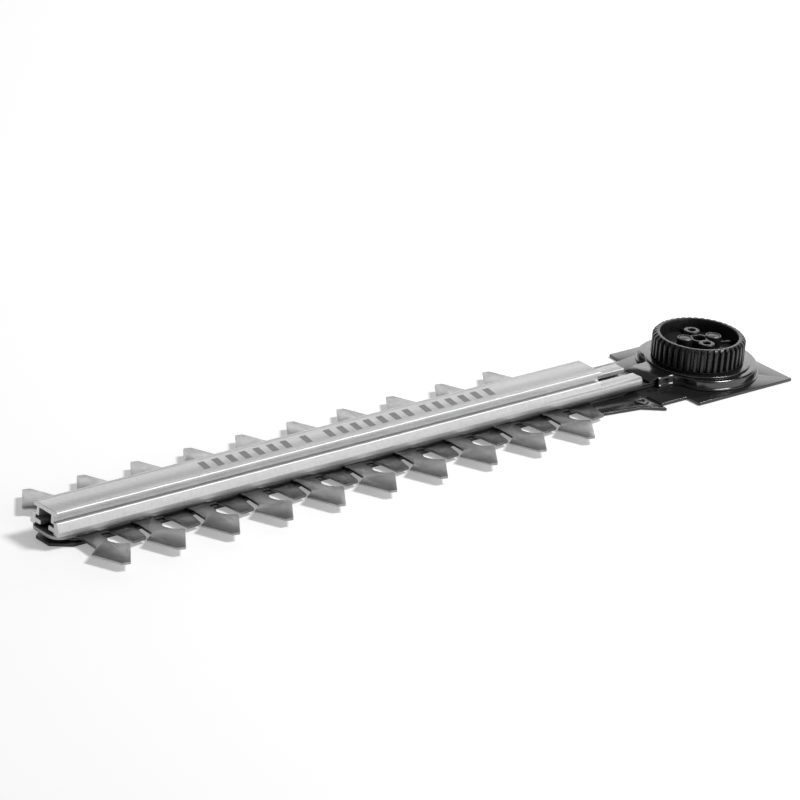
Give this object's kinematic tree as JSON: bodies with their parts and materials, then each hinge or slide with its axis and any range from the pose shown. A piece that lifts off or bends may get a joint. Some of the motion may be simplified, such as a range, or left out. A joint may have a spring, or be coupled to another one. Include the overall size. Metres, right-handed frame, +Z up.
{
  "type": "hedge trimmer blade attachment",
  "caption": "Double-action hedge trimmer blade attachment: an aluminium rail over two toothed blades, driven through cams by a nylon gear on a steel base plate.",
  "frame": {"origin": "foot of the drive gear's axis on the underside of the base plate", "axes": "+X from the blade tips towards the gear and the base plate's rear edge, +Z up from the underside to the gear, +Y to the side where the barbed teeth's larger barbs point away from the gear"},
  "size_m": [0.282, 0.0564, 0.0126],
  "materials": {
    "rail_aluminium": "satin anodised, drawn lengthways",
    "strip_steel": "bright rolled",
    "blade_steel": "ground grey steel",
    "bar_steel": "black oxide",
    "base_steel": "dark grey phosphated",
    "cover_steel": "dark, semi-gloss",
    "disc_steel": "turned",
    "ring_nylon": "smooth",
    "gear_nylon": "moulded, slight sheen",
    "cam_steel": "ground",
    "rivet_steel": "plain",
    "bush_bronze": "sintered bronze",
    "screw_steel": "zinc plated, dulled",
    "felt": "greased wool felt"
  },
  "bodies": {
    "chassis": {"guide_rail": "rail_aluminium", "wear_strip": "strip_steel", "support_bar": "bar_steel", "base_plate": "base_steel", "cover_plate": "cover_steel", "cover_disc": "disc_steel", "thrust_ring": "ring_nylon", "gear_bush": "bush_bronze", "pivot_stud": "rivet_steel", "guide_screws": "screw_steel", "guide_sleeves": "rivet_steel", "rail_nuts": "screw_steel", "lug_eyelets": "screw_steel", "grease_felt": "felt"},
    "gear_set": {"drive_gear": "gear_nylon", "upper_cam": "cam_steel", "lower_cam": "cam_steel", "cam_rivets": "rivet_steel"},
    "upper_blade": {"upper_blade": "blade_steel"},
    "lower_blade": {"lower_blade": "blade_steel"}
  },
  "joints": [
    {"name": "gear_turn", "type": "hinge", "parent": "chassis", "child": "gear_set", "pos_m": [0, 0, 0.007], "axis": [0, 0, 1], "range_deg": [-90, 90]},
    {"name": "upper_blade_slide", "type": "slide", "parent": "chassis", "child": "upper_blade", "axis": [1, 0, 0], "range_m": [-0.004, 0.004]},
    {"name": "lower_blade_slide", "type": "slide", "parent": "chassis", "child": "lower_blade", "axis": [1, 0, 0], "range_m": [-0.004, 0.004]}
  ],
  "couplings": [
    {"joint": "gear_turn", "follows": "upper_blade_slide", "rad_per_m": -392.7},
    {"joint": "lower_blade_slide", "follows": "upper_blade_slide", "ratio": -1}
  ]
}
